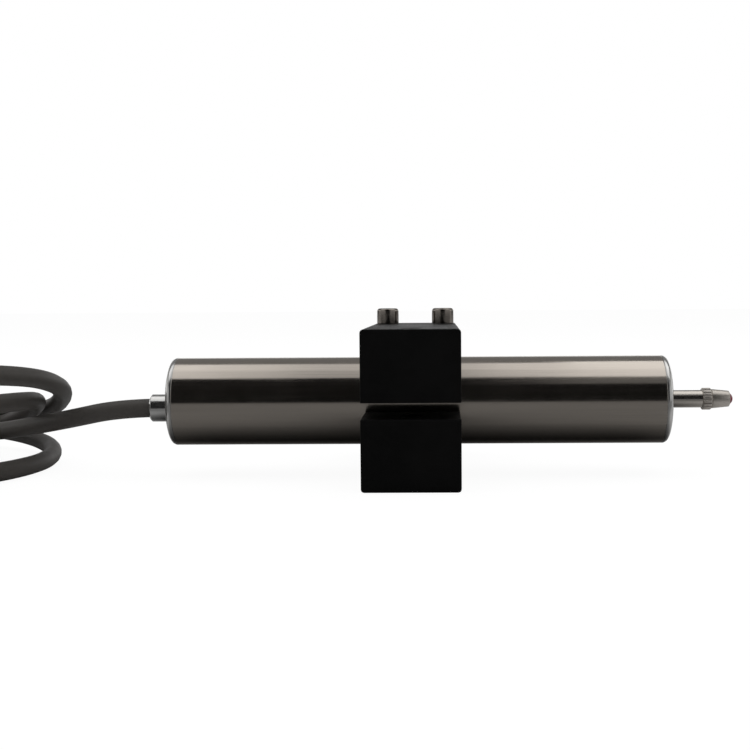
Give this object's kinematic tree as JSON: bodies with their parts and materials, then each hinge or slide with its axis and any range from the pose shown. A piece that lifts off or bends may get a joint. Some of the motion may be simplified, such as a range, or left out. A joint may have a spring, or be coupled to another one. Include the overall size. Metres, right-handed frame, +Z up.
{
  "type": "lvdt displacement sensor",
  "caption": "Spring-loaded gauge head with a ball-tipped probe, a slit clamp block and a coiled signal cable.",
  "frame": {"origin": "on the clamp block's bottom face, below the tube's axis, half-way along the block", "axes": "+X along the tube towards the contact tip, +Z up from the face the block rests on, +Y towards the mounting screws"},
  "size_m": [0.2639, 0.116, 0.0379],
  "materials": {
    "brushed_stainless": "brushed along the tube",
    "turned_aluminium": "fine turned",
    "turned_steel": "fine turned",
    "screw_steel": "polished",
    "spring_steel": "drawn wire",
    "black_anodised": "satin black anodised",
    "ruby": "polished",
    "bearing_bronze": "turned",
    "seal_rubber": "matt",
    "former_plastic": "moulded",
    "copper_windings": "enamelled wire",
    "shield_alloy": "annealed",
    "board_green": "solder mask",
    "chip_black": "moulded",
    "cable_jacket": "smooth matt",
    "lead_insulation": "smooth"
  },
  "bodies": {
    "clamp": {"clamp_block": "black_anodised", "mounting_screws": "screw_steel"},
    "sensor": {"body_tube": "brushed_stainless", "front_cap": "turned_aluminium", "rear_cap": "turned_aluminium", "wiper_seal": "seal_rubber", "front_bushing": "bearing_bronze", "guide_sleeve": "turned_aluminium", "spring_seat": "turned_aluminium", "return_spring": "spring_steel", "coil_former": "former_plastic", "rear_secondary": "copper_windings", "primary_winding": "copper_windings", "front_secondary": "copper_windings", "shield_tube": "shield_alloy", "rear_spacer": "turned_aluminium", "circuit_board": "board_green", "board_parts": "chip_black", "coil_leads": "copper_windings", "cable_cores": "lead_insulation", "cable_ferrule": "turned_steel", "cable_grommet": "seal_rubber", "cable_crimp": "turned_steel", "cable_entry": "cable_jacket", "cable_lead": "cable_jacket", "cable_coil": "cable_jacket", "bare_leads": "lead_insulation"},
    "plunger": {"probe_rod": "turned_steel", "guide_pin": "turned_steel", "contact_tip": "turned_steel", "ruby_ball": "ruby", "core_rod": "turned_steel", "magnetic_core": "shield_alloy", "core_nut": "turned_steel"}
  },
  "joints": [
    {"name": "clamp_slide", "type": "slide", "parent": "clamp", "child": "sensor", "axis": [1, 0, 0], "range_m": [-0.04, 0.04]},
    {"name": "plunger_slide", "type": "slide", "parent": "sensor", "child": "plunger", "axis": [1, 0, 0], "range_m": [-0.006, 0], "stiffness_N_per_m": 80, "springref_m": 0.008, "deforming": ["return_spring"]}
  ]
}
